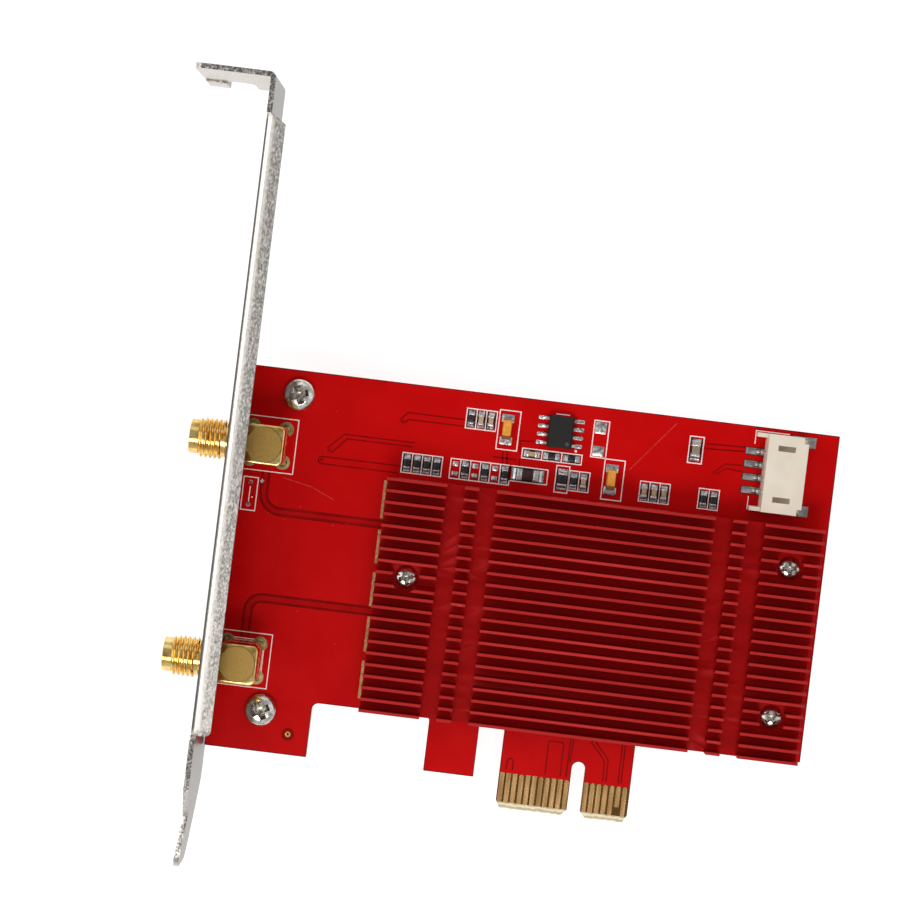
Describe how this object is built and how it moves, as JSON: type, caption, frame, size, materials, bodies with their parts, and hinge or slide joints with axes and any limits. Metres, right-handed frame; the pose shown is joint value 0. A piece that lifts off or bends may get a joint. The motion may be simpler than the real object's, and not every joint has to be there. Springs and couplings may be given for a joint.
{
  "type": "wifi card",
  "caption": "Desktop wireless network card: red expansion board with finned heatsink, full-height slot bracket, antenna jacks and a side-entry cable header.",
  "frame": {"origin": "centre line of the key notch at the contact edge, half way through the board", "axes": "+X away from the bracket along the board, +Y from the contact edge to the top edge and the bracket's tab, +Z out of the component side; the card lies with its solder side down"},
  "size_m": [0.1035, 0.12, 0.0216],
  "materials": {
    "bracket_steel": "nickel plated, lightly pitted",
    "screw_steel": "bright nickel",
    "tinned_brass": "tin plated",
    "board_laminate": "red solder mask over glass laminate",
    "contact_gold": "gold plated",
    "anodised_aluminium": "red anodised",
    "thermal_silicone": "soft matt",
    "chip_epoxy": "moulded epoxy",
    "tinned_steel": "tin plated",
    "module_laminate": "green solder mask over glass laminate",
    "slot_nylon": "moulded nylon, black",
    "socket_gold": "gold plated",
    "lead_jacket": "fluoropolymer jacket, grey",
    "jack_gold": "gold plated, polished",
    "jack_cap_brass": "gold plated, matt",
    "insulator_white": "smooth fluoropolymer",
    "header_nylon": "moulded nylon, cream",
    "tinned_leads": "tin plated",
    "tantalum_epoxy": "moulded epoxy, orange",
    "fuse_ceramic": "dark brown",
    "resistor_ceramic": "black glaze with tinned ends",
    "capacitor_ceramic": "tan ceramic with tinned ends"
  },
  "bodies": {
    "root": {"bracket": "bracket_steel", "bracket_screws": "screw_steel", "circuit_board": "board_laminate", "edge_contacts_front": "contact_gold", "edge_contacts_back": "contact_gold", "heatsink": "anodised_aluminium", "heatsink_screws": "screw_steel", "heatsink_standoffs": "tinned_brass", "thermal_pad": "thermal_silicone", "radio_module_board": "module_laminate", "module_shield": "tinned_steel", "module_sockets": "socket_gold", "module_slot": "slot_nylon", "module_slot_contacts": "contact_gold", "board_sockets": "socket_gold", "lead_plugs": "socket_gold", "antenna_leads": "lead_jacket", "upper_jack_body": "jack_gold", "upper_jack_cap": "jack_cap_brass", "upper_jack_insulator": "insulator_white", "upper_jack_contact": "jack_gold", "lower_jack_body": "jack_gold", "lower_jack_cap": "jack_cap_brass", "lower_jack_insulator": "insulator_white", "lower_jack_contact": "jack_gold", "header_housing": "header_nylon", "header_pins": "tinned_leads", "header_solder_tabs": "tinned_leads", "memory_chip": "chip_epoxy", "memory_chip_leads": "tinned_leads", "left_tantalum": "tantalum_epoxy", "left_tantalum_terminals": "tinned_leads", "right_tantalum": "tantalum_epoxy", "right_tantalum_terminals": "tinned_leads", "fuse": "fuse_ceramic", "large_resistor": "resistor_ceramic", "large_capacitor": "capacitor_ceramic", "chip_resistor_1": "resistor_ceramic", "chip_resistor_2": "resistor_ceramic", "chip_resistor_3": "resistor_ceramic", "chip_resistor_4": "resistor_ceramic", "chip_resistor_5": "resistor_ceramic", "chip_resistor_6": "resistor_ceramic", "chip_resistor_7": "resistor_ceramic", "chip_resistor_8": "resistor_ceramic", "chip_resistor_9": "resistor_ceramic", "chip_resistor_10": "resistor_ceramic", "chip_resistor_11": "resistor_ceramic", "chip_resistor_12": "resistor_ceramic", "chip_resistor_13": "resistor_ceramic", "chip_capacitor_1": "capacitor_ceramic", "chip_capacitor_2": "capacitor_ceramic", "chip_capacitor_3": "capacitor_ceramic", "chip_capacitor_4": "capacitor_ceramic", "chip_capacitor_5": "capacitor_ceramic", "chip_capacitor_6": "capacitor_ceramic", "chip_capacitor_7": "capacitor_ceramic"}
  },
  "joints": []
}
